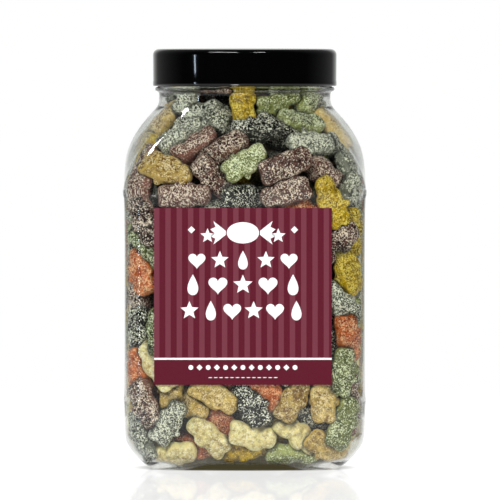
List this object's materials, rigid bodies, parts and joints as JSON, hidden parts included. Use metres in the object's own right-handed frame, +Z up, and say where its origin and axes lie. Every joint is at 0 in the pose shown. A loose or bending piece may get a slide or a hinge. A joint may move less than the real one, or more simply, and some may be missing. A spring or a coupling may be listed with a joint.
{
  "type": "jar of jelly babies",
  "caption": "Clear square-sided jar with rounded shoulders and a round neck, black screw lid and striped front label, filled with dusted jelly babies.",
  "frame": {"origin": "centre of the base, on the surface that the four corner feet stand on", "axes": "+Z up along the axis of the neck and the lid, the label faces -Y"},
  "size_m": [0.1212, 0.1212, 0.2092],
  "materials": {
    "clear_plastic": "polished",
    "black_plastic": "gloss",
    "printed_paper": "satin",
    "dusted_jelly": "matte"
  },
  "bodies": {
    "root": {"jar": "clear_plastic", "lid": "black_plastic", "label": "printed_paper", "jelly_babies": "dusted_jelly"}
  },
  "joints": []
}
